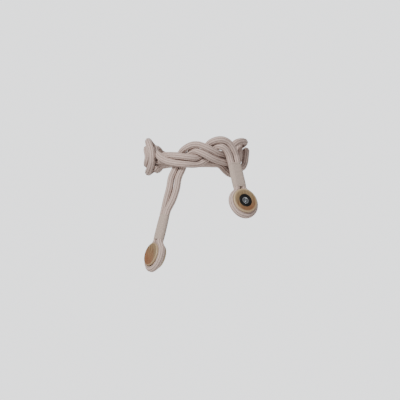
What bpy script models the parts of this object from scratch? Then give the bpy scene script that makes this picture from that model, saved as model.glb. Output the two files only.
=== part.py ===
# Magnetic tieback: two soft knitted cords run side by side from one wooden disc to the other.
# They go round an oval waist twice, pass under their own bight at the left, and end in a half knot.
# Each end is gathered in a knitted sleeve, below which one bend of cord lies in the groove of a disc.
# Metres, +Z up, +X right, the front towards -Y. The origin is the middle of the oval waist.
import bmesh
import bpy
import numpy as np
from mathutils import Matrix, Vector

MM = 0.001

# The oval waist that the cords are drawn round, in millimetres
WAIST_MIDDLE = -1.5
WAIST_HALF_WIDTH = 48.0
WAIST_HALF_DEPTH = 30.0

# Cords, in millimetres: cords that touch lie CORD_PITCH apart
CORD_DIAMETER = 7.7
CORD_PITCH = 8.6
LEAST_BEND = 6.5
ROUTE_STEP = 2.0
CHORD_SLACK = 0.5
LONGEST_CHORD = 22.0
CORD_SIDES_SETTING = 2

# Ends, in millimetres
SLEEVE_LENGTH = 33.0
SLEEVE_WIDTH = 16.6
SLEEVE_THICKNESS = 9.6
SLEEVE_EDGE = 0.9
SLEEVE_TO_DISC_MIDDLE = 20.2
DISC_DIAMETER = 32.0
DISC_BACK_DIAMETER = 29.6
DISC_THICKNESS = 14.0
NEAR_FLANGE = 2.8
GROOVE_WIDTH = 8.6
GROOVE_DEPTH = 4.8
DISC_EDGE = 0.9
BEZEL_DIAMETER = 16.0
BEZEL_THICKNESS = 4.0
MAGNET_DIAMETER = 10.0
MAGNET_THICKNESS = 3.6
MAGNET_SINK = 0.6
MAGNET_EDGE = 0.4
BEZEL_PROUD = 0.4
FIT = 0.3
CORD_GAP = 0.6
ROUND_SIDES = 40
SLEEVE_SIDES = 24

# The bend of cord round a disc, in millimetres and degrees: its legs leave the sleeve straight, spread
# along LEG_POINTS, given as (outwards, along), and meet the groove at RING_START from the far side;
# the bend hangs up to CORD_HANG below the groove, so more of it shows under the disc
LEG_POINTS = [(0.0, 0.7), (0.05, 2.6), (1.7, 5.4)]
RING_START = 142
RING_STEP = 14.2
CORD_HANG = 1.8

FRONT = -1
BACK = 1

# Each end: the middle of its sleeve's mouth, which way the magnet faces and which way the sleeve points
LEFT_MOUTH = (-41.6, -47.2, -74.4)
LEFT_FACING = (0.824, 0.483, -0.297)
LEFT_POINTING = (-0.230, -0.193, -0.954)
RIGHT_MOUTH = (45.55, -42.0, -10.2)
RIGHT_FACING = (0.417, -0.816, 0.400)
RIGHT_POINTING = (0.203, -0.345, -0.916)

COLOURS = {
    "cord": ((0.56, 0.45, 0.40), 0.90, 0.0),
    "sleeve": ((0.52, 0.44, 0.38), 0.92, 0.0),
    "wood": ((0.52, 0.29, 0.13), 0.55, 0.0),
    "bezel": ((0.02, 0.017, 0.016), 0.35, 0.0),
    "magnet": ((0.75, 0.76, 0.78), 0.18, 1.0),
}


def across(x, z, lift, side=FRONT):
    """A point x millimetres to the right, lifted off the oval waist by lift."""
    share = np.clip((x - WAIST_MIDDLE) / (WAIST_HALF_WIDTH + lift), -1, 1)
    depth = (WAIST_HALF_DEPTH + lift) * np.sqrt(1 - share * share)
    return (WAIST_MIDDLE + (WAIST_HALF_WIDTH + lift) * share, side * depth, z)


def ring(degrees, z, lift):
    """A point at an angle round the waist: 0 is the right edge, 90 the front, 180 the left edge."""
    turn = np.radians(degrees)
    x = WAIST_MIDDLE + (WAIST_HALF_WIDTH + lift) * np.cos(turn)
    return (x, -(WAIST_HALF_DEPTH + lift) * np.sin(turn), z)


class End:
    """The frame of one end: facing is the disc's axis on its magnet side, pointing runs down the sleeve."""

    def __init__(self, mouth, facing, pointing):
        self.mouth = Vector(mouth)
        self.facing = Vector(facing).normalized()
        down = Vector(pointing)
        self.pointing = (down - self.facing * down.dot(self.facing)).normalized()
        self.sideways = self.facing.cross(self.pointing)

    def at(self, sideways, along, facing=0.0):
        return self.mouth + self.sideways * sideways + self.pointing * along + self.facing * facing

    def matrix(self, along):
        """X sideways, Y against the sleeve's way, Z the disc's axis, in metres."""
        turned = Matrix((self.sideways, -self.pointing, self.facing)).transposed().to_4x4()
        return Matrix.Translation(self.at(0, along) * MM) @ turned


LEFT = End(LEFT_MOUTH, LEFT_FACING, LEFT_POINTING)
RIGHT = End(RIGHT_MOUTH, RIGHT_FACING, RIGHT_POINTING)
HALF_PITCH = CORD_PITCH / 2
LEAD = 5.0

# The first cord, from the left sleeve to the right one
FIRST_ROUTE = [
    # Up the left tail, behind the front strand and over it as the knot's top cord
    LEFT.at(HALF_PITCH, -CORD_GAP), LEFT.at(HALF_PITCH, -LEAD),
    across(-39.7, -56.25, 20), across(-35.7, -41, 18), across(-33.5, -28, 15.5),
    across(-28.1, -15.5, 13.5), across(-25.5, -6, 12.5), across(-21.2, 2.2, 13),
    across(-13.75, 7.8, 16.5), across(-1.25, 11.4, 20), across(11.25, 9, 21.5),
    across(20.6, 6.8, 18.5), across(27.5, 4, 13), across(34.5, 1.6, 11.5),
    across(40.5, 3.5, 12), across(43, 10.4, 12.5),
    # Over the right edge and round the back
    ring(37.5, 15.6, 13.4), ring(29, 17.6, 14), ring(19, 17.8, 13.8), ring(8, 16.6, 13.2),
    ring(-6, 14.6, 12.5), ring(-20, 11, 12.2), ring(-36, 6, 12.5), ring(-56, 1.2, 12.5),
    ring(-80, -1, 12.5), ring(-104, -1, 12.5), ring(-126, 0, 13), ring(-140, 3.5, 13),
    ring(-152, 8.5, 13.5), ring(-163, 13.6, 13.5), ring(-174, 17, 13.5), ring(-183, 17.9, 13.5),
    # The bight at the left edge, over what passes below it
    ring(166, 16.2, 15), ring(154, 11.5, 17), ring(146.5, 5, 18), ring(144.5, -2, 18),
    ring(147.5, -9, 17.5), ring(156, -15.5, 16), ring(168, -19, 14.5), ring(181, -19.4, 13.5),
    ring(192, -18.2, 13.5), ring(204, -15.2, 13.5),
    # Round the back again, lower
    ring(217, -12, 13.2), ring(232, -10, 12.8), ring(254, -9.6, 12.5), ring(280, -9.6, 12.5),
    ring(302, -9, 12.5), ring(320, -5, 12), ring(334, 2, 9.6), ring(347, 7.6, 7),
    # Steeply down the right edge and in under the knot
    ring(0, 10.4, 5.6), ring(12, 9.8, 7), ring(20, 5, 8), ring(22, -3, 8.5), ring(20, -11, 7.5),
    ring(18, -17.5, 6.5), ring(22, -21.8, 6.5), ring(31, -23.2, 7), across(39.4, -21.2, 6.5),
    across(34.4, -16.8, 5.5), across(30, -12.2, 4.6), across(24, -9.6, 4.2),
    # Along the front, hidden below the front strand
    across(14, -9, 4.2), across(0, -9.2, 4.2), across(-20, -9, 4.2), across(-36, -8.6, 3.5),
    ring(149, -8.2, 3),
    # The turn at the left edge, below the bight
    ring(158, -9.2, 3.2), ring(168, -12.4, 3.6), ring(179, -15.4, 4), ring(190, -16.2, 4),
    ring(201, -13.4, 4), ring(208.5, -5, 4), ring(203, 4, 4), ring(190, 7.4, 4),
    ring(176, 6, 4.5), ring(165, 2, 6.5),
    # The front strand, its lower cord
    across(-47.5, -2.9, 13.5), across(-41.25, -5.8, 17), across(-33.75, -8.2, 18.5),
    across(-25, -9.6, 20.8), across(-15, -10, 20.8), across(-6, -9.6, 17), across(2, -8.2, 13.5),
    across(8.5, -5, 12.5), across(14, 0.4, 12.5), across(18.2, 6.8, 14),
    # The knot's inner loop, down to the right sleeve
    across(23.2, 9.2, 18), across(29.6, 9.6, 21), across(35.2, 6, 21.5),
    across(39, 0, 21.5), RIGHT.at(-HALF_PITCH, -LEAD - 1), RIGHT.at(-HALF_PITCH, -CORD_GAP),
]

# The second cord, beside the first
SECOND_ROUTE = [
    # Up the left tail, behind the front strand and over it as the knot's lower cord
    LEFT.at(-HALF_PITCH, -CORD_GAP), LEFT.at(-HALF_PITCH, -LEAD),
    across(-31.6, -56.25, 22), across(-26.6, -41, 19), across(-24.5, -28, 16.5),
    across(-19.1, -15.5, 14), across(-17, -6, 12.5), across(-13.2, 0, 13),
    across(-6.25, 4, 16.5), across(0.5, 4.2, 20), across(7.5, 1.9, 21.5),
    across(17.5, -3.6, 20), across(27.5, -7.6, 14.5), across(36, -10, 10),
    across(42.5, -7, 5.5),
    # Round the right edge, innermost, and round the back
    ring(24, -1.5, 3.5), ring(12, 2, 2.5), ring(0, 2.6, 2.5), ring(-14, 2, 3.5),
    ring(-32, 0, 4.2), ring(-56, -1, 4.2), ring(-80, -1, 4.2), ring(-104, -1, 4.2),
    ring(-124, -0.8, 5), ring(-140, 1.4, 8), ring(-154, 5, 11.5), ring(-167, 8.6, 13.5),
    # The bight's outer cord
    ring(-180, 10.4, 15), ring(171, 8.2, 16), ring(163.5, 4, 17), ring(161, -1.5, 17),
    ring(163.5, -7, 17), ring(171, -11, 16), ring(182, -12.5, 14.5), ring(195, -12.2, 13.5),
    ring(208, -11, 11.5),
    # Round the back again, lower
    ring(222, -9.8, 8), ring(238, -9.6, 5), ring(256, -9.6, 4.2), ring(280, -9.6, 4.2),
    ring(302, -9.2, 5), ring(318, -7, 8), ring(332, -1, 10.2), ring(345, 5.4, 12.2),
    # Steeply down the right edge, crossing outside the first cord
    ring(-4, 9, 12.8), ring(4, 7.6, 13), ring(8, 0.6, 13), ring(12.5, -8, 12.6),
    ring(20, -14.6, 11), ring(28, -16, 8), across(41.2, -14.6, 5.5), across(37, -10, 4.5),
    across(31.5, -4.5, 4.2),
    # Along the front, hidden below the front strand
    across(24, -1.2, 4.2), across(14, -0.5, 4.2), across(0, -0.6, 4.2), across(-20, -0.5, 4.2),
    across(-36, 0, 3.5), ring(149, 0.2, 3.2),
    # The turn at the left edge, inside the first cord's
    ring(160, -1.6, 3.6), ring(172, -6.4, 4), ring(184, -8.8, 4), ring(194, -7.8, 4),
    ring(198.5, -4, 4), ring(194, -0.2, 4), ring(185, 0.8, 4), ring(174, -0.8, 4.2),
    ring(163, -4, 6),
    # The front strand, its upper cord, which starts behind the other
    across(-47.5, -5.8, 8.5), across(-41.25, -2.8, 11.5), across(-33, -1, 16.5),
    across(-22.5, -1.2, 20.8), across(-12, -1.6, 20.5), across(-4, -1.6, 17),
    across(1.5, -0.4, 13.5), across(6.5, 3, 12.5), across(11, 8, 13), across(15, 13.3, 15),
    # The knot's outer loop, down to the right sleeve
    across(21.25, 17.1, 18.5), across(30, 18.8, 20.8), across(38.75, 15.2, 21),
    across(44.8, 6.25, 21.2), across(47.9, -2, 21), RIGHT.at(HALF_PITCH, -LEAD - 1),
    RIGHT.at(HALF_PITCH, -CORD_GAP),
]


def even_points(points, step):
    """The same line with points an even step apart."""
    along = np.concatenate([[0], np.cumsum(np.linalg.norm(np.diff(points, axis=0), axis=1))])
    wanted = np.linspace(0, along[-1], round(along[-1] / step) + 1)
    return np.stack([np.interp(wanted, along, points[:, k]) for k in range(3)], axis=1)


def smooth_line(points, step):
    """A centripetal Catmull-Rom curve through the route's points."""
    p = np.array([tuple(q) for q in points], float)
    p = np.vstack([2 * p[0] - p[1], p, 2 * p[-1] - p[-2]])
    line = []
    for i in range(1, len(p) - 2):
        q = p[i - 1:i + 3]
        knots = np.concatenate([[0], np.cumsum(np.linalg.norm(np.diff(q, axis=0), axis=1) ** 0.5)])
        for s in np.linspace(knots[1], knots[2], 24, endpoint=False):
            level = q
            for span in (1, 2, 3):
                mixed = []
                for k in range(4 - span):
                    start, end = (knots[k], knots[k + span]) if span < 3 else (knots[1], knots[2])
                    mixed.append(((end - s) * level[k] + (s - start) * level[k + 1]) / (end - start))
                level = np.array(mixed)
            line.append(level[0])
    line.append(p[-2])
    return even_points(np.array(line), step)


def laid_apart(lines, rounds=240):
    """Lets the cords push each other out to their pitch, with no bend tighter than LEAST_BEND."""
    counts = [len(line) for line in lines]
    ends = np.cumsum([0] + counts)
    start = np.vstack(lines)
    number = np.concatenate([np.arange(n) for n in counts])
    cord = np.concatenate([np.full(n, k) for k, n in enumerate(counts)])
    strangers = np.abs(number[:, None] - number[None]) > 1.7 * CORD_PITCH / ROUTE_STEP
    apart = np.triu((cord[:, None] != cord[None]) | strangers)
    from_end = np.concatenate([np.minimum(np.arange(n), np.arange(n)[::-1]) for n in counts])
    free = np.minimum(from_end / 4, 1)[:, None]
    bend = ROUTE_STEP ** 2 / (2 * LEAST_BEND)
    moved = np.zeros_like(start)
    for turn in range(rounds):
        now = start + moved
        if turn % 10 == 0:
            distance = np.sqrt(((now[:, None] - now[None]) ** 2).sum(2))
            first, second = np.nonzero(apart & (distance < CORD_PITCH + 3))
        gap = now[first] - now[second]
        distance = np.linalg.norm(gap, axis=1)
        push = gap * (np.maximum(CORD_PITCH - distance, 0) / distance / 4)[:, None]
        np.add.at(moved, first, push * free[first])
        np.add.at(moved, second, -push * free[second])
        now = start + moved
        for k in range(len(lines)):
            shift, place = moved[ends[k]:ends[k + 1]], now[ends[k]:ends[k + 1]]
            if turn < rounds - 20:
                shift[1:-1] += 0.3 * ((shift[:-2] + shift[2:]) / 2 - shift[1:-1])
            lean = (place[:-2] + place[2:]) / 2 - place[1:-1]
            size = np.linalg.norm(lean, axis=1)
            ease = 0.6 * np.maximum(size - bend, 0) / np.maximum(size, 1e-9)
            shift[1:-1] += lean * ease[:, None]
    return [(start + moved)[ends[k]:ends[k + 1]] for k in range(len(lines))]


def few_points(line, slack):
    """The fewest of the line's points whose chords stay within slack of it."""
    kept = [0]
    while kept[-1] < len(line) - 1:
        here = kept[-1]
        reach = here + 1
        while reach + 1 < len(line):
            chord = line[reach + 1] - line[here]
            length = np.linalg.norm(chord)
            between = line[here + 1:reach + 1] - line[here]
            off = np.linalg.norm(np.cross(between, chord / length), axis=1).max()
            if off > slack or length > LONGEST_CHORD:
                break
            reach += 1
        kept.append(reach)
    return line[kept]


def new_material(name, kind):
    colour, roughness, metallic = COLOURS[kind]
    material = bpy.data.materials.new(name)
    material.use_nodes = True
    shader = material.node_tree.nodes["Principled BSDF"]
    shader.inputs["Base Color"].default_value = (*colour, 1)
    shader.inputs["Roughness"].default_value = roughness
    shader.inputs["Metallic"].default_value = metallic
    material.diffuse_color = (*colour, 1)
    return material


def finish(piece, kind, collection):
    """Gives a piece its material and its collection."""
    piece.data.materials.append(new_material(piece.name, kind))
    for old in list(piece.users_collection):
        old.objects.unlink(piece)
    collection.objects.link(piece)
    return piece


def tube(name, points, diameter, collection):
    """A cord as a bevelled curve with filled caps, its points in metres."""
    curve = bpy.data.curves.new(name, "CURVE")
    curve.dimensions = "3D"
    curve.bevel_depth = diameter / 2
    curve.bevel_resolution = CORD_SIDES_SETTING
    curve.use_fill_caps = True
    spline = curve.splines.new("POLY")
    spline.points.add(len(points) - 1)
    for target, point in zip(spline.points, points):
        target.co = (*point, 1)
    piece = bpy.data.objects.new(name, curve)
    collection.objects.link(piece)
    return finish(piece, "cord", collection)


def turned(name, profile, kind, matrix, collection):
    """A turned piece: its half outline, from the axis round to the axis, as (radius, height) in mm."""
    mesh = bpy.data.meshes.new(name)
    mesh.from_pydata(
        [(radius * MM, 0, height * MM) for radius, height in profile],
        [(k, k + 1) for k in range(len(profile) - 1)],
        [],
    )
    piece = bpy.data.objects.new(name, mesh)
    collection.objects.link(piece)
    if profile[0] == profile[-1]:
        closed = bmesh.new()
        closed.from_mesh(mesh)
        bmesh.ops.remove_doubles(closed, verts=closed.verts, dist=0.00001)
        closed.to_mesh(mesh)
        closed.free()
    screw = piece.modifiers.new("Turn", "SCREW")
    screw.axis = "Z"
    screw.steps = ROUND_SIDES
    screw.render_steps = ROUND_SIDES
    screw.use_merge_vertices = True
    screw.merge_threshold = 0.00001
    piece.matrix_world = matrix
    return finish(piece, kind, collection)


def ring_line():
    """The bend of cord in one disc's groove, as (sideways, along) in the end's plane."""
    middle = SLEEVE_LENGTH + SLEEVE_TO_DISC_MIDDLE
    radius = DISC_DIAMETER / 2 - GROOVE_DEPTH + 2 * FIT + CORD_DIAMETER / 2
    down = [(-HALF_PITCH - out, SLEEVE_LENGTH + along) for out, along in LEG_POINTS]
    round_it = []
    for degrees in np.arange(-RING_START, RING_START + 1, RING_STEP):
        turn = np.radians(degrees)
        hang = CORD_HANG * max(0, np.cos(turn))
        round_it.append((radius * np.sin(turn), middle + radius * np.cos(turn) + hang))
    back_up = [(-sideways, along) for sideways, along in reversed(down)]
    return down + round_it + back_up


def add_ring_cord(name, end, collection):
    line = smooth_line([end.at(sideways, along) for sideways, along in ring_line()], ROUTE_STEP / 2)
    return tube(name, few_points(line, CHORD_SLACK / 2) * MM, CORD_DIAMETER * MM, collection)


def add_sleeve(name, end, collection):
    """The knitted sleeve, a flat oval that the two cords fill."""
    mesh = bpy.data.meshes.new(name)
    shape = bmesh.new()
    bmesh.ops.create_cone(
        shape, cap_ends=True, segments=SLEEVE_SIDES, radius1=SLEEVE_THICKNESS / 2 * MM,
        radius2=SLEEVE_THICKNESS / 2 * MM, depth=SLEEVE_LENGTH * MM,
        matrix=Matrix.Rotation(np.pi / SLEEVE_SIDES, 4, "Z"),
    )
    for vertex in shape.verts:
        side = 1 if vertex.co.x > 0 else -1
        vertex.co.x += side * (SLEEVE_WIDTH - SLEEVE_THICKNESS) / 2 * MM
    bmesh.ops.rotate(shape, verts=shape.verts, matrix=Matrix.Rotation(np.pi / 2, 3, "X"))
    shape.to_mesh(mesh)
    shape.free()
    piece = bpy.data.objects.new(name, mesh)
    collection.objects.link(piece)
    rim = piece.modifiers.new("Rim", "BEVEL")
    rim.width = SLEEVE_EDGE * MM
    rim.segments = 2
    rim.limit_method = "ANGLE"
    mesh.shade_smooth()
    mesh.set_sharp_from_angle(angle=np.radians(50))
    piece.matrix_world = end.matrix(SLEEVE_LENGTH / 2)
    return finish(piece, "sleeve", collection)


def add_button(side, end, collection):
    """A wooden disc with its black bezel and magnet, all turned on the disc's axis."""
    matrix = end.matrix(SLEEVE_LENGTH + SLEEVE_TO_DISC_MIDDLE)
    radius = DISC_DIAMETER / 2
    far_radius = DISC_BACK_DIAMETER / 2
    face = NEAR_FLANGE + GROOVE_WIDTH / 2
    back = face - DISC_THICKNESS
    floor = face - BEZEL_THICKNESS
    core = radius - GROOVE_DEPTH
    soft = DISC_EDGE * 0.3
    turned("disc_" + side, [
        (0, floor - FIT), (BEZEL_DIAMETER / 2 + FIT, floor - FIT), (BEZEL_DIAMETER / 2 + FIT, face),
        (radius - DISC_EDGE, face), (radius - soft, face - soft), (radius, face - DISC_EDGE),
        (radius, GROOVE_WIDTH / 2), (core, GROOVE_WIDTH / 2), (core, -GROOVE_WIDTH / 2),
        (far_radius, -GROOVE_WIDTH / 2), (far_radius, back + DISC_EDGE), (far_radius - soft, back + soft),
        (far_radius - DISC_EDGE, back), (0, back),
    ], "wood", matrix, collection)
    inner = MAGNET_DIAMETER / 2 + FIT
    top = face + BEZEL_PROUD
    turned("bezel_" + side, [
        (inner, top), (BEZEL_DIAMETER / 2 - BEZEL_PROUD, top), (BEZEL_DIAMETER / 2, face),
        (BEZEL_DIAMETER / 2, floor), (inner, floor), (inner, top),
    ], "bezel", matrix, collection)
    lip = top - MAGNET_SINK
    turned("magnet_" + side, [
        (0, lip), (MAGNET_DIAMETER / 2 - MAGNET_EDGE, lip), (MAGNET_DIAMETER / 2, lip - MAGNET_EDGE),
        (MAGNET_DIAMETER / 2, lip - MAGNET_THICKNESS), (0, lip - MAGNET_THICKNESS),
    ], "magnet", matrix, collection)


def main():
    for old in list(bpy.data.objects):
        bpy.data.objects.remove(old, do_unlink=True)
    tieback = bpy.data.collections.new("magnetic_tieback")
    bpy.context.scene.collection.children.link(tieback)
    lines = [smooth_line(route, ROUTE_STEP) for route in (FIRST_ROUTE, SECOND_ROUTE)]
    for number, line in enumerate(laid_apart(lines), start=1):
        tube(f"cord_leg_{number}", few_points(line, CHORD_SLACK) * MM, CORD_DIAMETER * MM, tieback)
    for side, end in (("left", LEFT), ("right", RIGHT)):
        add_ring_cord("cord_ring_" + side, end, tieback)
        add_sleeve("sleeve_" + side, end, tieback)
        add_button(side, end, tieback)
    bpy.context.view_layer.update()


main()
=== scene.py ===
import math

import bpy
import numpy as np
from mathutils import Matrix, Vector


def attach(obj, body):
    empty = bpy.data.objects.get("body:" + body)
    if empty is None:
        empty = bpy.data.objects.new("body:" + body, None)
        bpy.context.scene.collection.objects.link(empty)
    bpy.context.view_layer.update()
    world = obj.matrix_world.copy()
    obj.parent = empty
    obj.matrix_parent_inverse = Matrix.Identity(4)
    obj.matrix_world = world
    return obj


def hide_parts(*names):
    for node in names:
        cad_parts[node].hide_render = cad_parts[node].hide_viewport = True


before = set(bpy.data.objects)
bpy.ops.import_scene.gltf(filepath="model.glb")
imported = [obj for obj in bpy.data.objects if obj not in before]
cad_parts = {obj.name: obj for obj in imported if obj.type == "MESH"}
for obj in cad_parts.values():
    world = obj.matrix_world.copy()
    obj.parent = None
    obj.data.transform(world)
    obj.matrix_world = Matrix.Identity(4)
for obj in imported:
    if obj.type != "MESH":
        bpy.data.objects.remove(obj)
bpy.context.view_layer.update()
mm = 0.001
print("frame loaded:", len(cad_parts), "solids")


def newObject(name, data):
    thing = bpy.data.objects.new(name, data)
    bpy.context.scene.collection.objects.link(thing)
    return thing


# the camera comes first, because the cords are measured by what it sees
view = {"place": (0.0025, -3.05, -0.056), "lens": 216, "sensor": 36}
cameraData = bpy.data.cameras.new("camera")
cameraData.sensor_width = view["sensor"]
cameraData.lens = view["lens"]
cameraData.clip_end = 50
camera = newObject("camera", cameraData)
camera.location = view["place"]
camera.rotation_euler = (math.radians(90), 0, 0)
bpy.context.scene.camera = camera


# helpers for the node materials
def newTree(name):
    material = bpy.data.materials.new(name)
    material.use_nodes = True
    tree = material.node_tree
    return material, tree, tree.nodes["Principled BSDF"]


def mathNode(tree, operation, first, second=None, third=None):
    node = tree.nodes.new("ShaderNodeMath")
    node.operation = operation
    for socket, value in zip(node.inputs, (first, second, third)):
        if value is None:
            continue
        if isinstance(value, (int, float)):
            socket.default_value = value
        else:
            tree.links.new(value, socket)
    return node.outputs[0]


def mixColours(tree, share, first, second):
    node = tree.nodes.new("ShaderNodeMix")
    node.data_type = "RGBA"
    tree.links.new(share, node.inputs[0])
    for socket, value in ((node.inputs[6], first), (node.inputs[7], second)):
        if isinstance(value, tuple):
            socket.default_value = (*value, 1)
        else:
            tree.links.new(value, socket)
    return node.outputs[2]


def noiseOf(tree, vector, scale, detail=2.0, roughness=0.5):
    node = tree.nodes.new("ShaderNodeTexNoise")
    node.inputs["Scale"].default_value = scale
    node.inputs["Detail"].default_value = detail
    node.inputs["Roughness"].default_value = roughness
    tree.links.new(vector, node.inputs["Vector"])
    return node.outputs[0]


def bumpOf(tree, height, strength, distance, normal=None):
    node = tree.nodes.new("ShaderNodeBump")
    node.inputs["Strength"].default_value = strength
    node.inputs["Distance"].default_value = distance
    tree.links.new(height, node.inputs["Height"])
    if normal is not None:
        tree.links.new(normal, node.inputs["Normal"])
    return node.outputs[0]


def rangeOf(tree, value, low, high, toLow=0.0, toHigh=1.0):
    node = tree.nodes.new("ShaderNodeMapRange")
    for socket, number in zip(node.inputs[1:5], (low, high, toLow, toHigh)):
        socket.default_value = number
    tree.links.new(value, node.inputs[0])
    return node.outputs[0]


def mapped(tree, vector, scale=(1, 1, 1), place=(0, 0, 0), turn=(0, 0, 0)):
    node = tree.nodes.new("ShaderNodeMapping")
    node.inputs["Location"].default_value = place
    node.inputs["Rotation"].default_value = turn
    node.inputs["Scale"].default_value = scale
    tree.links.new(vector, node.inputs["Vector"])
    return node.outputs[0]


def splitParts(tree, vector):
    node = tree.nodes.new("ShaderNodeSeparateXYZ")
    tree.links.new(vector, node.inputs[0])
    return node.outputs


def farFromAxis(tree, parts):
    # the distance from the axis of a disc
    squares = [mathNode(tree, "POWER", part, 2.0) for part in parts[:2]]
    return mathNode(tree, "SQRT", mathNode(tree, "ADD", *squares))


def objectPlace(tree, matrix=None):
    # Object coordinates, or those of one disc, so that grain and rings lie with it
    where = tree.nodes.new("ShaderNodeTexCoord").outputs["Object"]
    if matrix is None:
        return where
    inverse = matrix.inverted()
    return mapped(tree, where, place=inverse.translation, turn=inverse.to_euler("XYZ"))


# the oval waist that the cords are drawn round, and how the cords are laid, in millimetres;
# these repeat the lines of the solids, so they change together with them
waist = {"middle": -1.5, "halfWidth": 48.0, "halfDepth": 30.0}
route = {
    "pitch": 8.6,           # between the middles of cords that touch
    "lead": 5.0,            # straight out of a sleeve
    "cordGap": 0.6,
    "leastBend": 6.5,
    "step": 2.0,
    "rounds": 240,
    "lastRounds": 20,       # at the end the shifts aren't evened out any more
    "look": 3.0,            # pairs closer than the pitch and this are watched,
    "lookEvery": 10,        # and every so many rounds they are looked for anew
    "ownReach": 1.7,        # a cord touches itself only further along than this many pitches
    "evening": 0.3,
    "easing": 0.6,
    "heldPoints": 4,        # points near an end that move less and less
}
half = route["pitch"] / 2
lead = route["lead"]
gap = route["cordGap"]


def across(x, z, lift):
    # a point on the front of the oval waist, x to the right, lifted off it
    share = min(1, max(-1, (x - waist["middle"]) / (waist["halfWidth"] + lift)))
    depth = (waist["halfDepth"] + lift) * math.sqrt(1 - share * share)
    return (waist["middle"] + (waist["halfWidth"] + lift) * share, -depth, z)


def around(degrees, z, lift):
    # a point at an angle round the waist: 0 right, 90 front, 180 left
    turn = math.radians(degrees)
    x = waist["middle"] + (waist["halfWidth"] + lift) * math.cos(turn)
    return (x, -(waist["halfDepth"] + lift) * math.sin(turn), z)


def endMatrix(mouth, facing, pointing):
    # X sideways, Y against the way the sleeve points, Z the way the magnet faces
    facing = Vector(facing).normalized()
    down = Vector(pointing)
    down = (down - facing * down.dot(facing)).normalized()
    turned = Matrix((facing.cross(down), -down, facing)).transposed().to_4x4()
    return Matrix.Translation(mouth) @ turned


def atEnd(end, sideways, along):
    return end @ Vector((sideways, -along, 0))


leftEnd = endMatrix(mouth=(-41.6, -47.2, -74.4), facing=(0.824, 0.483, -0.297),
                    pointing=(-0.230, -0.193, -0.954))
rightEnd = endMatrix(mouth=(45.55, -42.0, -10.2), facing=(0.417, -0.816, 0.400),
                     pointing=(0.203, -0.345, -0.916))

firstRoute = [
    # up the left tail, behind the front strand and over it as the knot's top cord
    atEnd(leftEnd, half, -gap), atEnd(leftEnd, half, -lead),
    across(-39.7, -56.25, 20), across(-35.7, -41, 18), across(-33.5, -28, 15.5),
    across(-28.1, -15.5, 13.5), across(-25.5, -6, 12.5), across(-21.2, 2.2, 13),
    across(-13.75, 7.8, 16.5), across(-1.25, 11.4, 20), across(11.25, 9, 21.5),
    across(20.6, 6.8, 18.5), across(27.5, 4, 13), across(34.5, 1.6, 11.5),
    across(40.5, 3.5, 12), across(43, 10.4, 12.5),
    # over the right edge and round the back
    around(37.5, 15.6, 13.4), around(29, 17.6, 14), around(19, 17.8, 13.8), around(8, 16.6, 13.2),
    around(-6, 14.6, 12.5), around(-20, 11, 12.2), around(-36, 6, 12.5), around(-56, 1.2, 12.5),
    around(-80, -1, 12.5), around(-104, -1, 12.5), around(-126, 0, 13), around(-140, 3.5, 13),
    around(-152, 8.5, 13.5), around(-163, 13.6, 13.5), around(-174, 17, 13.5), around(-183, 17.9, 13.5),
    # the bight at the left edge, over what passes below it
    around(166, 16.2, 15), around(154, 11.5, 17), around(146.5, 5, 18), around(144.5, -2, 18),
    around(147.5, -9, 17.5), around(156, -15.5, 16), around(168, -19, 14.5), around(181, -19.4, 13.5),
    around(192, -18.2, 13.5), around(204, -15.2, 13.5),
    # round the back again, lower
    around(217, -12, 13.2), around(232, -10, 12.8), around(254, -9.6, 12.5), around(280, -9.6, 12.5),
    around(302, -9, 12.5), around(320, -5, 12), around(334, 2, 9.6), around(347, 7.6, 7),
    # steeply down the right edge and in under the knot
    around(0, 10.4, 5.6), around(12, 9.8, 7), around(20, 5, 8), around(22, -3, 8.5), around(20, -11, 7.5),
    around(18, -17.5, 6.5), around(22, -21.8, 6.5), around(31, -23.2, 7), across(39.4, -21.2, 6.5),
    across(34.4, -16.8, 5.5), across(30, -12.2, 4.6), across(24, -9.6, 4.2),
    # along the front, hidden below the front strand
    across(14, -9, 4.2), across(0, -9.2, 4.2), across(-20, -9, 4.2), across(-36, -8.6, 3.5),
    around(149, -8.2, 3),
    # the turn at the left edge, below the bight
    around(158, -9.2, 3.2), around(168, -12.4, 3.6), around(179, -15.4, 4), around(190, -16.2, 4),
    around(201, -13.4, 4), around(208.5, -5, 4), around(203, 4, 4), around(190, 7.4, 4),
    around(176, 6, 4.5), around(165, 2, 6.5),
    # the front strand, its lower cord
    across(-47.5, -2.9, 13.5), across(-41.25, -5.8, 17), across(-33.75, -8.2, 18.5),
    across(-25, -9.6, 20.8), across(-15, -10, 20.8), across(-6, -9.6, 17), across(2, -8.2, 13.5),
    across(8.5, -5, 12.5), across(14, 0.4, 12.5), across(18.2, 6.8, 14),
    # the knot's inner loop, down to the right sleeve
    across(23.2, 9.2, 18), across(29.6, 9.6, 21), across(35.2, 6, 21.5),
    across(39, 0, 21.5), atEnd(rightEnd, -half, -lead - 1), atEnd(rightEnd, -half, -gap),
]

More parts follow.
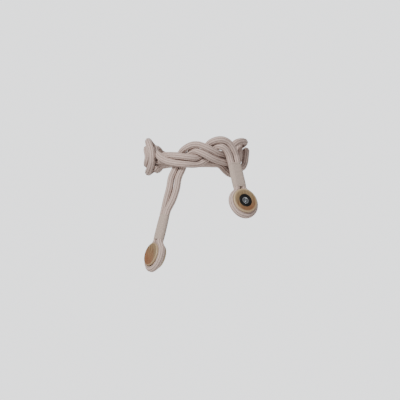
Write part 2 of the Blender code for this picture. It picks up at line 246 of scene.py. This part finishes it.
secondRoute = [
    # up the left tail, behind the front strand and over it as the knot's lower cord
    atEnd(leftEnd, -half, -gap), atEnd(leftEnd, -half, -lead),
    across(-31.6, -56.25, 22), across(-26.6, -41, 19), across(-24.5, -28, 16.5),
    across(-19.1, -15.5, 14), across(-17, -6, 12.5), across(-13.2, 0, 13),
    across(-6.25, 4, 16.5), across(0.5, 4.2, 20), across(7.5, 1.9, 21.5),
    across(17.5, -3.6, 20), across(27.5, -7.6, 14.5), across(36, -10, 10),
    across(42.5, -7, 5.5),
    # round the right edge, innermost, and round the back
    around(24, -1.5, 3.5), around(12, 2, 2.5), around(0, 2.6, 2.5), around(-14, 2, 3.5),
    around(-32, 0, 4.2), around(-56, -1, 4.2), around(-80, -1, 4.2), around(-104, -1, 4.2),
    around(-124, -0.8, 5), around(-140, 1.4, 8), around(-154, 5, 11.5), around(-167, 8.6, 13.5),
    # the bight's outer cord
    around(-180, 10.4, 15), around(171, 8.2, 16), around(163.5, 4, 17), around(161, -1.5, 17),
    around(163.5, -7, 17), around(171, -11, 16), around(182, -12.5, 14.5), around(195, -12.2, 13.5),
    around(208, -11, 11.5),
    # round the back again, lower
    around(222, -9.8, 8), around(238, -9.6, 5), around(256, -9.6, 4.2), around(280, -9.6, 4.2),
    around(302, -9.2, 5), around(318, -7, 8), around(332, -1, 10.2), around(345, 5.4, 12.2),
    # steeply down the right edge, crossing outside the first cord
    around(-4, 9, 12.8), around(4, 7.6, 13), around(8, 0.6, 13), around(12.5, -8, 12.6),
    around(20, -14.6, 11), around(28, -16, 8), across(41.2, -14.6, 5.5), across(37, -10, 4.5),
    across(31.5, -4.5, 4.2),
    # along the front, hidden below the front strand
    across(24, -1.2, 4.2), across(14, -0.5, 4.2), across(0, -0.6, 4.2), across(-20, -0.5, 4.2),
    across(-36, 0, 3.5), around(149, 0.2, 3.2),
    # the turn at the left edge, inside the first cord's
    around(160, -1.6, 3.6), around(172, -6.4, 4), around(184, -8.8, 4), around(194, -7.8, 4),
    around(198.5, -4, 4), around(194, -0.2, 4), around(185, 0.8, 4), around(174, -0.8, 4.2),
    around(163, -4, 6),
    # the front strand, its upper cord, which starts behind the other
    across(-47.5, -5.8, 8.5), across(-41.25, -2.8, 11.5), across(-33, -1, 16.5),
    across(-22.5, -1.2, 20.8), across(-12, -1.6, 20.5), across(-4, -1.6, 17),
    across(1.5, -0.4, 13.5), across(6.5, 3, 12.5), across(11, 8, 13), across(15, 13.3, 15),
    # the knot's outer loop, down to the right sleeve
    across(21.25, 17.1, 18.5), across(30, 18.8, 20.8), across(38.75, 15.2, 21),
    across(44.8, 6.25, 21.2), across(47.9, -2, 21), atEnd(rightEnd, half, -lead - 1),
    atEnd(rightEnd, half, -gap),
]


def evenPoints(points, step):
    # points along the line, as near to a step apart as comes out even
    along = np.concatenate([[0], np.cumsum(np.linalg.norm(np.diff(points, axis=0), axis=1))])
    wanted = np.linspace(0, along[-1], round(along[-1] / step) + 1)
    return np.stack([np.interp(wanted, along, points[:, k]) for k in range(3)], axis=1)


def smoothLine(points, step):
    # a centripetal Catmull-Rom curve through the points
    p = np.array([tuple(q) for q in points], float)
    p = np.vstack([2 * p[0] - p[1], p, 2 * p[-1] - p[-2]])
    line = []
    for i in range(1, len(p) - 2):
        q = p[i - 1:i + 3]
        knots = np.concatenate([[0], np.cumsum(np.linalg.norm(np.diff(q, axis=0), axis=1) ** 0.5)])
        for s in np.linspace(knots[1], knots[2], 24, endpoint=False):
            level = q
            for span in (1, 2, 3):
                mixed = []
                for k in range(4 - span):
                    start, end = (knots[k], knots[k + span]) if span < 3 else (knots[1], knots[2])
                    mixed.append(((end - s) * level[k] + (s - start) * level[k + 1]) / (end - start))
                level = np.array(mixed)
            line.append(level[0])
    line.append(p[-2])
    return evenPoints(np.array(line), step)


def settledLines(lines):
    # the cords push each other out to their pitch, and tight bends are eased
    counts = [len(line) for line in lines]
    ends = np.cumsum([0] + counts)
    start = np.vstack(lines)
    number = np.concatenate([np.arange(n) for n in counts])
    owner = np.concatenate([np.full(n, k) for k, n in enumerate(counts)])
    strangers = np.abs(number[:, None] - number[None]) > route["ownReach"] * route["pitch"] / route["step"]
    apart = np.triu((owner[:, None] != owner[None]) | strangers)
    fromEnd = np.concatenate([np.minimum(np.arange(n), np.arange(n)[::-1]) for n in counts])
    free = np.minimum(fromEnd / route["heldPoints"], 1)[:, None]
    bend = route["step"] ** 2 / (2 * route["leastBend"])
    moved = np.zeros_like(start)
    for turn in range(route["rounds"]):
        now = start + moved
        if turn % route["lookEvery"] == 0:
            distance = np.sqrt(((now[:, None] - now[None]) ** 2).sum(2))
            first, second = np.nonzero(apart & (distance < route["pitch"] + route["look"]))
        between = now[first] - now[second]
        distance = np.linalg.norm(between, axis=1)
        # each of the two moves by a quarter of what they are too close
        push = between * (np.maximum(route["pitch"] - distance, 0) / distance / 4)[:, None]
        np.add.at(moved, first, push * free[first])
        np.add.at(moved, second, -push * free[second])
        now = start + moved
        for k in range(len(lines)):
            shift, place = moved[ends[k]:ends[k + 1]], now[ends[k]:ends[k + 1]]
            if turn < route["rounds"] - route["lastRounds"]:
                shift[1:-1] += route["evening"] * ((shift[:-2] + shift[2:]) / 2 - shift[1:-1])
            lean = (place[:-2] + place[2:]) / 2 - place[1:-1]
            size = np.linalg.norm(lean, axis=1)
            ease = route["easing"] * np.maximum(size - bend, 0) / np.maximum(size, 1e-9)
            shift[1:-1] += lean * ease[:, None]
    return [(start + moved)[ends[k]:ends[k + 1]] for k in range(len(lines))]


lines = settledLines([smoothLine(points, route["step"]) for points in (firstRoute, secondRoute)])
print("cords laid")


# knitted pieces
def unit(vectors):
    return vectors / np.linalg.norm(vectors, axis=-1, keepdims=True)


def carriedSides(line, first):
    # a sideways and an upright direction at each point, carried along the line without twist
    tangents = unit(np.gradient(line, axis=0))
    side = np.array(first, float)
    sides = []
    for tangent in tangents:
        side = unit(side - tangent * np.dot(side, tangent))
        sides.append(side)
    sides = np.array(sides)
    return sides, np.cross(tangents, sides)


def skinOf(name, rings, alongs, material):
    # a closed skin over rings of points; UV x is the distance along it, y goes once round
    count, sides = rings.shape[:2]
    points = rings.reshape(-1, 3).tolist() + [rings[0].mean(0).tolist(), rings[-1].mean(0).tolist()]
    faces, uvs = [], []
    for i in range(count - 1):
        for j in range(sides):
            k = (j + 1) % sides
            faces.append((i * sides + j, i * sides + k, (i + 1) * sides + k, (i + 1) * sides + j))
            low, high = j / sides, (j + 1) / sides
            uvs += [(alongs[i], low), (alongs[i], high), (alongs[i + 1], high), (alongs[i + 1], low)]
    for j in range(sides):
        k = (j + 1) % sides
        last = (count - 1) * sides
        faces.append((count * sides, k, j))
        uvs += [(alongs[0], (j + 0.5) / sides), (alongs[0], (j + 1) / sides), (alongs[0], j / sides)]
        faces.append((count * sides + 1, last + j, last + k))
        uvs += [(alongs[-1], (j + 0.5) / sides), (alongs[-1], j / sides), (alongs[-1], (j + 1) / sides)]
    mesh = bpy.data.meshes.new(name)
    mesh.from_pydata(points, [], faces)
    layer = mesh.uv_layers.new(name="UVMap")
    layer.data.foreach_set("uv", np.array(uvs, np.float32).ravel())
    mesh.shade_smooth()
    mesh.materials.append(material)
    return newObject(name, mesh)


# the look that the cords and the sleeves share: how far each mark darkens the knit
knit = {
    "slant": 1.4,           # how far a stitch leans from the middle of its column to the edge
    "broadShare": 0.35,
    "seamShade": 0.22,      # between two columns of stitches
    "loopShade": 0.2,       # in the hollow of each stitch
    "fleckDarkening": 0.3,
    "fluffShare": 0.25,
    "stitchHeight": 0.0002,
    "fluffHeight": 0.00015,
    "roughness": 0.92,
    "sheen": 0.12,
}


def offMiddle(tree, turned, count):
    # how far a place is from the middle of its rib or column, of count in one turn: 0 to 0.5
    share = mathNode(tree, "FRACT", mathNode(tree, "MULTIPLY", turned, float(count)))
    return mathNode(tree, "ABSOLUTE", mathNode(tree, "SUBTRACT", share, 0.5))


def knitMaterial(name, kind):
    # UV: x runs along the knit in metres, y once round it; each rib holds a few columns of stitches
    material, tree, shader = newTree(name)
    uv = tree.nodes.new("ShaderNodeUVMap")
    uv.uv_map = "UVMap"
    along, turned = splitParts(tree, uv.outputs[0])[:2]
    where = objectPlace(tree)
    offRib = offMiddle(tree, turned, kind["ribs"])
    offColumn = offMiddle(tree, turned, kind["ribs"] * kind["columnsPerRib"])
    stitches = mathNode(tree, "DIVIDE", along, kind["stitch"] * mm)
    slant = mathNode(tree, "MULTIPLY_ADD", offColumn, knit["slant"], stitches)
    loop = mathNode(tree, "SINE", mathNode(tree, "MULTIPLY", slant, 2 * math.pi))
    groove = rangeOf(tree, offRib, kind["grooveStart"], 0.5)
    seam = rangeOf(tree, offColumn, 0.3, 0.5)
    broad = rangeOf(tree, noiseOf(tree, where, 60.0, 3.0), 0.35, 0.65)
    fine = noiseOf(tree, where, 1700.0, 3.0, 0.7)
    flecks = noiseOf(tree, mapped(tree, uv.outputs[0], (420, 46, 1)), 1.0, 2.0, 0.6)
    warm = mathNode(tree, "MULTIPLY", broad, knit["broadShare"])
    colour = mixColours(tree, warm, kind["colour"], kind["warmColour"])
    hollow = rangeOf(tree, loop, -1.0, -0.2, 1.0, 0.0)
    # painted shade in the rib grooves, between the stitch columns and in each stitch's hollow, with the
    # yarn's own darker flecks
    shadeAndFlecks = mathNode(tree, "MULTIPLY", groove, kind["grooveShade"])
    shadeAndFlecks = mathNode(tree, "MULTIPLY_ADD", seam, knit["seamShade"], shadeAndFlecks)
    shadeAndFlecks = mathNode(tree, "MULTIPLY_ADD", hollow, knit["loopShade"], shadeAndFlecks)
    shadeAndFlecks = mathNode(tree, "MULTIPLY_ADD", rangeOf(tree, flecks, 0.35, 0.7), knit["fleckDarkening"], shadeAndFlecks)
    colour = mixColours(tree, mathNode(tree, "MINIMUM", shadeAndFlecks, 1.0), colour, kind["shadeColour"])
    fluff = rangeOf(tree, fine, 0.45, 0.8, 0.0, knit["fluffShare"])
    colour = mixColours(tree, fluff, colour, kind["fluffColour"])
    tree.links.new(colour, shader.inputs["Base Color"])
    height = mathNode(tree, "MULTIPLY_ADD", loop, 0.5, mathNode(tree, "MULTIPLY", seam, -0.9))
    stitched = bumpOf(tree, height, 0.6, knit["stitchHeight"])
    tree.links.new(bumpOf(tree, fine, 0.45, knit["fluffHeight"], stitched), shader.inputs["Normal"])
    shader.inputs["Roughness"].default_value = knit["roughness"]
    shader.inputs["Specular IOR Level"].default_value = 0.15
    shader.inputs["Sheen Weight"].default_value = knit["sheen"]
    shader.inputs["Sheen Roughness"].default_value = 0.5
    shader.inputs["Sheen Tint"].default_value = (1.0, 0.93, 0.9, 1)
    return material


cord = {
    "diameter": 8.5,        # over the tops of the ribs
    "ribs": 8,
    "ribDepth": 0.52,
    "ribPower": 1.4,        # above 1 the ribs are broad and the grooves narrow
    "sidesPerRib": 7,
    "ringStep": 1.3,
    "intoSleeve": 2.2,      # this much of each end goes into the sleeve's mouth
    "endShare": 0.93,       # a cut end is this much of the full width
    "waves": ((0.010, 9.0, 0.0), (0.006, 3.7, 1.0)),    # unevenness: share, length, start
    "looseSwell": 0.05,     # fuller by this share, about looseMiddle from each end
    "looseMiddle": 40.0,
    "looseReach": 20.0,
    "columnsPerRib": 2,
    "stitch": 2.2,
    "grooveStart": 0.24,    # where in a rib its shade begins: 0 its middle, 0.5 the groove
    "grooveShade": 0.7,
    "colour": (0.560, 0.434, 0.384),
    "warmColour": (0.510, 0.375, 0.325),
    "shadeColour": (0.185, 0.125, 0.108),
    "fluffColour": (0.66, 0.55, 0.50),
}


def cordSkin(name, line, material, firstSide=(0.3, 0.2, 1.0), looseSwell=0.0):
    # line in millimetres
    fine = evenPoints(line, cord["ringStep"])
    for smoothing in range(3):
        fine[1:-1] = fine[1:-1] / 2 + (fine[:-2] + fine[2:]) / 4
    sides, ups = carriedSides(fine, firstSide)
    count = cord["ribs"] * cord["sidesPerRib"]
    turns = np.arange(count) * 2 * np.pi / count
    lobes = np.abs(np.sin(cord["ribs"] * turns / 2))
    radius = cord["diameter"] / 2 - cord["ribDepth"] * (1 - lobes) ** cord["ribPower"]
    along = np.arange(len(fine)) * cord["ringStep"]
    swell = np.ones(len(fine))
    for share, wave, start in cord["waves"]:
        swell += share * np.sin(along / wave + start)
    loose = np.minimum(along, along[-1] - along)    # a cord is fuller where nothing pulls on it
    swell += looseSwell * np.exp(-((loose - cord["looseMiddle"]) / cord["looseReach"]) ** 2)
    swell[[0, -1]] *= cord["endShare"]
    ring = swell[:, None, None] * (sides[:, None] * (radius * np.cos(turns))[None, :, None]
                                   + ups[:, None] * (radius * np.sin(turns))[None, :, None])
    return skinOf(name, (fine[:, None] + ring) * mm, along * mm, material), fine


def intoSleeves(line):
    # the line with a last bit at each end that goes into the sleeve's mouth
    before = line[0] + unit(line[0] - line[1]) * cord["intoSleeve"]
    after = line[-1] + unit(line[-1] - line[-2]) * cord["intoSleeve"]
    return np.vstack([before, line, after])


knittedCord = knitMaterial("knitted cord", cord)
for number, line in enumerate(lines, start=1):
    piece, fine = cordSkin(f"cord_{number}", intoSleeves(line), knittedCord, looseSwell=cord["looseSwell"])
    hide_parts(f"cord_leg_{number}")
    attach(piece, "root")

# knitted sleeves
sleeve = {
    "length": 33.0,
    "halfWidth": 8.6,
    "halfThickness": 4.9,
    "drawnIn": 0.08,        # how much its middle is drawn in between the two cords
    "ribs": 30,
    "ribDepth": 0.24,
    "sidesPerRib": 5,
    "ringStep": 0.6,
    "hem": 1.9,             # the sewn line lies this far from each edge
    "hemDepth": 0.5,
    "hemReach": 0.3,
    "lip": (0.0, 0.12, 0.4, 0.8),       # rings close together where the edge rolls in
    "lipDepth": 0.75,
    "bulge": 0.22,          # fuller in the middle of its length
    "flare": 0.4,           # and wider towards the disc than at the mouth
    "flatness": 2.6,
    "columnsPerRib": 1,
    "stitch": 1.5,
    "grooveStart": 0.2,
    "grooveShade": 0.5,
    "colour": (0.490, 0.395, 0.338),
    "warmColour": (0.440, 0.345, 0.290),
    "shadeColour": (0.210, 0.155, 0.132),
    "fluffColour": (0.63, 0.54, 0.48),
}


def flatOval(halfWidth, halfThickness, count):
    # two cords side by side under one skin: a flat oval, a little drawn in at its middle
    turns = np.linspace(0, 2 * np.pi, 721)
    reach = halfWidth - halfThickness
    flatness = sleeve["flatness"]
    x = reach * np.tanh(flatness * np.cos(turns)) / np.tanh(flatness) + halfThickness * np.cos(turns)
    drawnIn = 1 - sleeve["drawnIn"] * (1 - np.abs(np.cos(turns))) ** 1.5
    outline = np.stack([x, halfThickness * np.sin(turns) * drawnIn, 0 * x], axis=1)
    along = np.concatenate([[0], np.cumsum(np.linalg.norm(np.diff(outline, axis=0), axis=1))])
    wanted = np.linspace(0, along[-1], count, endpoint=False)
    even = np.stack([np.interp(wanted, along, outline[:, k]) for k in range(2)], axis=1)
    ahead = np.roll(even, -1, axis=0) - np.roll(even, 1, axis=0)
    outwards = unit(np.stack([ahead[:, 1], -ahead[:, 0]], axis=1))
    return even, outwards


def sleeveSkin(name, material):
    # in its end's own place: the mouth at the origin, pointing down -Y
    count = sleeve["ribs"] * sleeve["sidesPerRib"]
    even, outwards = flatOval(sleeve["halfWidth"], sleeve["halfThickness"], count)
    ribs = -sleeve["ribDepth"] * (1 - np.abs(np.sin(np.pi * np.arange(count) / sleeve["sidesPerRib"])))
    length = sleeve["length"]
    lip = np.array(sleeve["lip"])
    alongs = np.concatenate([lip, np.arange(1.3, length - 1.2, sleeve["ringStep"]), length - lip[::-1]])
    rings = []
    for along in alongs:
        fromEdge = min(along, length - along)
        inLip = 1 - min(fromEdge / lip[-1], 1)
        rounding = sleeve["lipDepth"] * (1 - math.sqrt(max(0.0, 1 - inLip ** 2)))
        hem = sleeve["hemDepth"] * math.exp(-((fromEdge - sleeve["hem"]) / sleeve["hemReach"]) ** 2)
        wider = sleeve["flare"] * along / length
        bulge = sleeve["bulge"] * math.sin(math.pi * along / length) + wider - sleeve["flare"] / 2
        outline = even + outwards * (ribs + bulge - rounding - hem)[:, None]
        rings.append([(x, -along, y) for x, y in outline])
    return skinOf(name, np.array(rings) * mm, alongs * mm, material)


# discs, black rings and magnets, in millimetres, each in its disc's own place: its axis is Z
disc = {
    "radius": 16.0,
    "backRadius": 14.8,
    "alongBelowSleeve": 20.2,
    "face": 7.1,
    "back": -6.9,
    "grooveHalf": 4.3,
    "grooveSteps": 15,
    "edge": 1.1,
    "dish": 1.9,            # how deep the plain side is hollowed
    "dishRadius": 12.8,
    "dishSteps": (11.6, 10.2, 8.6, 7.0, 5.2, 3.2, 0),
    "seat": (0.15, 0.3),    # room round and under the black ring
    "turns": 96,
}
bend = {
    "radius": 15.65,        # from the disc's middle to the middle of the cord
    "hang": 1.8,            # how far it hangs below the groove
    "start": 142,           # degrees from the lowest point to where a leg meets the groove
    "step": 14.2,           # degrees too
    "leg": ((0, -1.6), (0, 0.7), (0.05, 2.6), (1.7, 5.4)),      # outwards, below the sleeve
}
discMiddle = sleeve["length"] + disc["alongBelowSleeve"]


def cordBend(name, material):
    # the bend of cord that lies in a disc's groove, its legs going up into the sleeve
    down = [(-half - out, sleeve["length"] + along) for out, along in bend["leg"]]
    roundIt = []
    for degrees in np.arange(-bend["start"], bend["start"] + 1, bend["step"]):
        turn = math.radians(degrees)
        hang = bend["hang"] * max(0, math.cos(turn))
        roundIt.append((bend["radius"] * math.sin(turn), discMiddle + bend["radius"] * math.cos(turn) + hang))
    backUp = [(-sideways, along) for sideways, along in reversed(down)]
    line = smoothLine([(sideways, -along, 0) for sideways, along in down + roundIt + backUp], 1.0)
    return cordSkin(name, line, material, (0, 0, 1))[0]


def turnedPiece(name, outline, edge):
    # one corner is pulled along the half outline, and that line is spun round the disc's axis
    bpy.ops.object.select_all(action="DESELECT")
    bpy.ops.mesh.primitive_plane_add(size=mm, location=(0, 0, 0))
    piece = bpy.context.object
    piece.name = piece.data.name = name
    bpy.ops.object.mode_set(mode="EDIT")
    bpy.ops.mesh.select_all(action="SELECT")
    bpy.ops.mesh.merge(type="CENTER")
    here = Vector((outline[0][0] * mm, 0, outline[0][1] * mm))
    bpy.ops.transform.translate(value=here)
    for radius, height in outline[1:]:
        there = Vector((radius * mm, 0, height * mm))
        bpy.ops.mesh.extrude_vertices_move(TRANSFORM_OT_translate={"value": there - here})
        here = there
    bpy.ops.mesh.select_all(action="SELECT")
    bpy.ops.mesh.spin(steps=disc["turns"], angle=2 * math.pi, center=(0, 0, 0), axis=(0, 0, 1))
    bpy.ops.mesh.select_all(action="SELECT")
    bpy.ops.mesh.remove_doubles(threshold=0.00001)
    bpy.ops.mesh.normals_make_consistent(inside=False)
    bpy.ops.object.mode_set(mode="OBJECT")
    if edge:
        rim = piece.modifiers.new("rim", "BEVEL")
        rim.width = edge * mm
        rim.segments = 5
        rim.limit_method = "ANGLE"
        rim.angle_limit = math.radians(48)
        bpy.ops.object.modifier_apply(modifier="rim")
    bpy.ops.object.shade_smooth_by_angle(angle=math.radians(40))
    piece.data.transform(Matrix.Translation((0, -discMiddle * mm, 0)))
    return piece


def discOutline():
    face, back, radius, far = disc["face"], disc["back"], disc["radius"], disc["backRadius"]
    groove = disc["grooveHalf"]
    hole = bezel["outer"] + disc["seat"][0]
    recess = face - bezel["depth"] - disc["seat"][1]
    outline = [(0, recess), (hole, recess), (hole, face), (radius, face), (radius, groove)]
    for share in np.linspace(-1, 1, disc["grooveSteps"])[1:-1]:    # the groove, round like the cord
        height = -share * groove
        outline.append((bend["radius"] - math.sqrt(groove ** 2 - height ** 2), height))
    outline += [(far, -groove), (far, back), (disc["dishRadius"], back)]
    for reach in disc["dishSteps"]:
        outline.append((reach, back + disc["dish"] * (1 - (reach / disc["dishRadius"]) ** 2) ** 1.3))
    return outline


bezel = {
    "outer": 8.0,
    "inner": 5.25,
    "flange": 8.35,         # the rim that lies on the wood
    "lip": 4.6,             # the edge that holds the magnet in
    "proud": 0.4,
    "depth": 4.0,
    "edge": 0.12,
    "colour": (0.006, 0.005, 0.005),
    "dustColour": (0.040, 0.030, 0.025),
}


def bezelOutline():
    outer, inner, lip, flange = bezel["outer"], bezel["inner"], bezel["lip"], bezel["flange"]
    onWood = disc["face"] + 0.03
    top = disc["face"] + bezel["proud"]
    bottom = disc["face"] - bezel["depth"]
    start = (inner, top - 0.35)
    return [start, (lip, top - 0.35), (lip + 0.2, top - 0.05), (lip + 0.9, top + 0.06),
            (flange - 1.1, top + 0.06), (flange - 0.25, top - 0.12), (flange, onWood), (outer, onWood),
            (outer, bottom), (inner, bottom), start]


magnet = {
    "radius": 5.0,
    "sink": 0.6,            # below the black ring
    "depth": 3.6,
    "lowRing": 2.4,         # the ring turned into its face
    "lowRingHalf": 1.1,
    "turningStep": 0.32,    # between the fine lines of the turning
    "colour": (0.30, 0.31, 0.33),
    "rubbedColour": (0.50, 0.51, 0.52),
    # painted shade in the low ring
    "lowRingShadeColour": (0.07, 0.07, 0.075),
}


def magnetOutline():
    top = disc["face"] + bezel["proud"] - magnet["sink"]
    edge = magnet["radius"]
    return [(0, top + 0.14), (0.7, top + 0.12), (1.3, top + 0.04), (1.75, top - 0.16), (2.1, top - 0.34),
            (2.5, top - 0.38), (2.9, top - 0.26), (3.3, top), (3.8, top + 0.1), (4.35, top + 0.08),
            (4.75, top - 0.1), (edge, top - 0.45), (edge, top - magnet["depth"]), (0, top - magnet["depth"])]


wood = {
    "light": (0.262, 0.182, 0.095),
    "middle": (0.146, 0.088, 0.042),
    "dark": (0.062, 0.029, 0.014),
    "redderBelow": (0.196, 0.068, 0.024),
    # painted highlight, on the rim and on the upper part of the face
    "highlightColour": (0.450, 0.335, 0.200),
    "redderLean": {"left": 0.8, "right": 0.0},   # which way the redder part lies, sideways to down
    "redderFade": 0.042,     # how fast it fades upwards, by the millimetre
    "redderMiddle": 0.40,
    "ringWidth": 3.4,       # between the year rings
    "wander": 13.0,         # how far the year rings wander
    "rim": (13.0, 15.2),    # the painted highlight on the rim starts and is full at these radii
    "coat": 0.15,
}


def woodMaterial(name, matrix, lean):
    material, tree, shader = newTree(name)
    local = objectPlace(tree, matrix)
    parts = splitParts(tree, local)
    wander = noiseOf(tree, mapped(tree, local, (75, 16, 60)), 1.0, 3.0)
    bent = mathNode(tree, "MULTIPLY_ADD", wander, wood["wander"] * mm, parts[0])
    rings = mathNode(tree, "SINE", mathNode(tree, "MULTIPLY", bent, 2 * math.pi / (wood["ringWidth"] * mm)))
    fibres = noiseOf(tree, mapped(tree, local, (1500, 80, 700)), 1.0, 4.0, 0.6)
    pores = noiseOf(tree, mapped(tree, local, (3200, 260, 2600)), 1.0, 2.0, 0.5)
    # redder and darker towards the bottom of the face, leaning sideways on the left disc
    fall = mathNode(tree, "MULTIPLY_ADD", parts[0], -lean, parts[1])
    redderBelow = mathNode(tree, "MULTIPLY_ADD", fall, -wood["redderFade"] / mm, wood["redderMiddle"])
    redderBelow = mathNode(tree, "ADD", redderBelow, mathNode(tree, "MULTIPLY_ADD", wander, 1.8, -0.9))
    rim = rangeOf(tree, farFromAxis(tree, parts), *(radius * mm for radius in wood["rim"]), 0.0, 0.8)
    stain = rangeOf(tree, noiseOf(tree, mapped(tree, local, (150, 60, 150)), 1.0, 2.0), 0.3, 0.7, 0.25, 0.95)
    years = mathNode(tree, "MULTIPLY", rangeOf(tree, rings, -0.4, 1.0), stain)
    colour = mixColours(tree, years, wood["light"], wood["middle"])
    colour = mixColours(tree, rangeOf(tree, redderBelow, 0.1, 0.9, 0.0, 0.8), colour, wood["redderBelow"])
    # painted highlight: the upper part of the face is made lighter
    colour = mixColours(tree, rangeOf(tree, redderBelow, -0.8, 0.0, 0.35, 0.0), colour, wood["highlightColour"])
    colour = mixColours(tree, rangeOf(tree, fibres, 0.42, 0.70, 0.0, 0.7), colour, wood["dark"])
    colour = mixColours(tree, rangeOf(tree, pores, 0.62, 0.72, 0.0, 0.6), colour, wood["dark"])
    # painted highlight on the rim
    colour = mixColours(tree, rim, colour, wood["highlightColour"])
    tree.links.new(colour, shader.inputs["Base Color"])
    tree.links.new(rangeOf(tree, fibres, 0.3, 0.7, 0.40, 0.56), shader.inputs["Roughness"])
    grain = bumpOf(tree, fibres, 0.3, 0.00012)
    tree.links.new(bumpOf(tree, pores, 0.2, 0.00008, grain), shader.inputs["Normal"])
    shader.inputs["Specular IOR Level"].default_value = 0.4
    shader.inputs["Coat Weight"].default_value = wood["coat"]
    shader.inputs["Coat Roughness"].default_value = 0.3
    return material


def bezelMaterial():
    material, tree, shader = newTree("black bezel")
    where = objectPlace(tree)
    fine = noiseOf(tree, where, 900.0, 3.0, 0.6)
    dust = noiseOf(tree, where, 240.0, 3.0, 0.6)
    dusty = rangeOf(tree, dust, 0.5, 0.8, 0.0, 0.3)
    colour = mixColours(tree, dusty, bezel["colour"], bezel["dustColour"])
    tree.links.new(colour, shader.inputs["Base Color"])
    tree.links.new(rangeOf(tree, dust, 0.3, 0.7, 0.30, 0.45), shader.inputs["Roughness"])
    tree.links.new(bumpOf(tree, fine, 0.12, 0.00005), shader.inputs["Normal"])
    shader.inputs["Specular IOR Level"].default_value = 0.25
    return material


def magnetMaterial(name, matrix):
    # bright plating, with painted shade in the low ring, and brighter where it is rubbed
    material, tree, shader = newTree(name)
    local = objectPlace(tree, matrix)
    radius = farFromAxis(tree, splitParts(tree, local))
    lines = mathNode(tree, "MULTIPLY", radius, 2 * math.pi / (magnet["turningStep"] * mm))
    turning = mathNode(tree, "SINE", lines)
    smear = noiseOf(tree, local, 420.0, 3.0, 0.6)
    offRing = mathNode(tree, "ABSOLUTE", mathNode(tree, "SUBTRACT", radius, magnet["lowRing"] * mm))
    # painted shade in the turned low ring
    lowRingShade = rangeOf(tree, offRing, 0.0, magnet["lowRingHalf"] * mm, 0.85, 0.0)
    rubbed = rangeOf(tree, smear, 0.35, 0.7)
    colour = mixColours(tree, rubbed, magnet["colour"], magnet["rubbedColour"])
    colour = mixColours(tree, lowRingShade, colour, magnet["lowRingShadeColour"])
    tree.links.new(colour, shader.inputs["Base Color"])
    tree.links.new(rangeOf(tree, smear, 0.3, 0.7, 0.11, 0.24), shader.inputs["Roughness"])
    tree.links.new(bumpOf(tree, turning, 0.10, 0.00003), shader.inputs["Normal"])
    shader.inputs["Metallic"].default_value = 1.0
    return material


# each end's pieces are made once in an end's own place, then copied to both ends
patterns = [
    (cordBend("cord_bend", knittedCord), "cord_ring", "cord"),
    (sleeveSkin("knit_sleeve", knitMaterial("knitted sleeve", sleeve)), "sleeve", "sleeve"),
    (turnedPiece("wood_disc", discOutline(), disc["edge"]), "disc", "wood"),
    (turnedPiece("black_ring", bezelOutline(), bezel["edge"]), "bezel", "bezel"),
    (turnedPiece("steel_magnet", magnetOutline(), 0), "magnet", "magnet"),
]
blackPlastic = bezelMaterial()
print("patterns for the ends made")

for side, end in (("left", leftEnd), ("right", rightEnd)):
    place = end.copy()
    place.translation = end.translation * mm
    discPlace = place @ Matrix.Translation((0, -discMiddle * mm, 0))
    ownMaterials = {
        "disc": woodMaterial("wood " + side, discPlace, wood["redderLean"][side]),
        "bezel": blackPlastic,
        "magnet": magnetMaterial("magnet " + side, discPlace),
    }
    for pattern, node, slot in patterns:
        name = pattern.name + "_" + side
        mesh = pattern.data.copy()
        mesh.name = name
        mesh.transform(place)
        if node in ownMaterials:
            mesh.materials.clear()
            mesh.materials.append(ownMaterials[node])
        piece = newObject(name, mesh)
        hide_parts(node + "_" + side)
        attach(piece, "root")
    print(side, "end made")

for pattern, _, _ in patterns:
    bpy.data.objects.remove(pattern, do_unlink=True)

# floor, air and lights
studio = {
    "floorHeight": -0.5,
    "floorRadius": 1.4,
    "floorColour": (0.80, 0.80, 0.79),
    "speckleColour": (0.76, 0.76, 0.75),
    "airColour": (0.975, 0.985, 1.0),
    "back": 2.00,           # how bright the air is behind the object
    "air": 0.42,            # and how much it lights the object
}
bpy.ops.object.select_all(action="DESELECT")
bpy.ops.mesh.primitive_circle_add(vertices=96, radius=studio["floorRadius"], fill_type="NGON",
                                  location=(0, 0, studio["floorHeight"]))
floor = bpy.context.object
floor.name = "floor"
floorMaterial, tree, shader = newTree("pale floor")
speckle = rangeOf(tree, noiseOf(tree, objectPlace(tree), 9.0, 3.0), 0.3, 0.7, 0.0, 0.3)
floorColour = mixColours(tree, speckle, studio["floorColour"], studio["speckleColour"])
tree.links.new(floorColour, shader.inputs["Base Color"])
shader.inputs["Roughness"].default_value = 0.9
floor.data.materials.append(floorMaterial)

world = bpy.data.worlds.new("pale air")
world.use_nodes = True
tree = world.node_tree
air = tree.nodes["Background"]
air.inputs[0].default_value = (*studio["airColour"], 1)
seen = tree.nodes.new("ShaderNodeLightPath").outputs["Is Camera Ray"]
tree.links.new(rangeOf(tree, seen, 0.0, 1.0, studio["air"], studio["back"]), air.inputs[1])
bpy.context.scene.world = world

lights = {
    "key": {"place": (-0.85, -1.1, 1.0), "aim": (0, 0, -0.05), "size": 0.4, "power": 40,
            "colour": (1.0, 0.985, 0.965)},
    "fill": {"place": (1.0, -1.3, 0.0), "aim": (0, 0, -0.05), "size": 0.9, "power": 5,
             "colour": (0.96, 0.98, 1.0)},
    "rim": {"place": (0.4, 1.1, 0.9), "aim": (0, 0, -0.03), "size": 0.6, "power": 10,
            "colour": (1.0, 1.0, 1.0)},
}


def softLight(name, place, aim, size, power, colour):
    data = bpy.data.lights.new(name, "AREA")
    data.shape = "DISK"
    data.size = size
    data.energy = power
    data.color = colour
    light = newObject(name, data)
    light.location = place
    light.rotation_euler = (Vector(aim) - Vector(place)).to_track_quat("-Z", "Y").to_euler()


for name, values in lights.items():
    softLight(name, **values)
print("studio made")
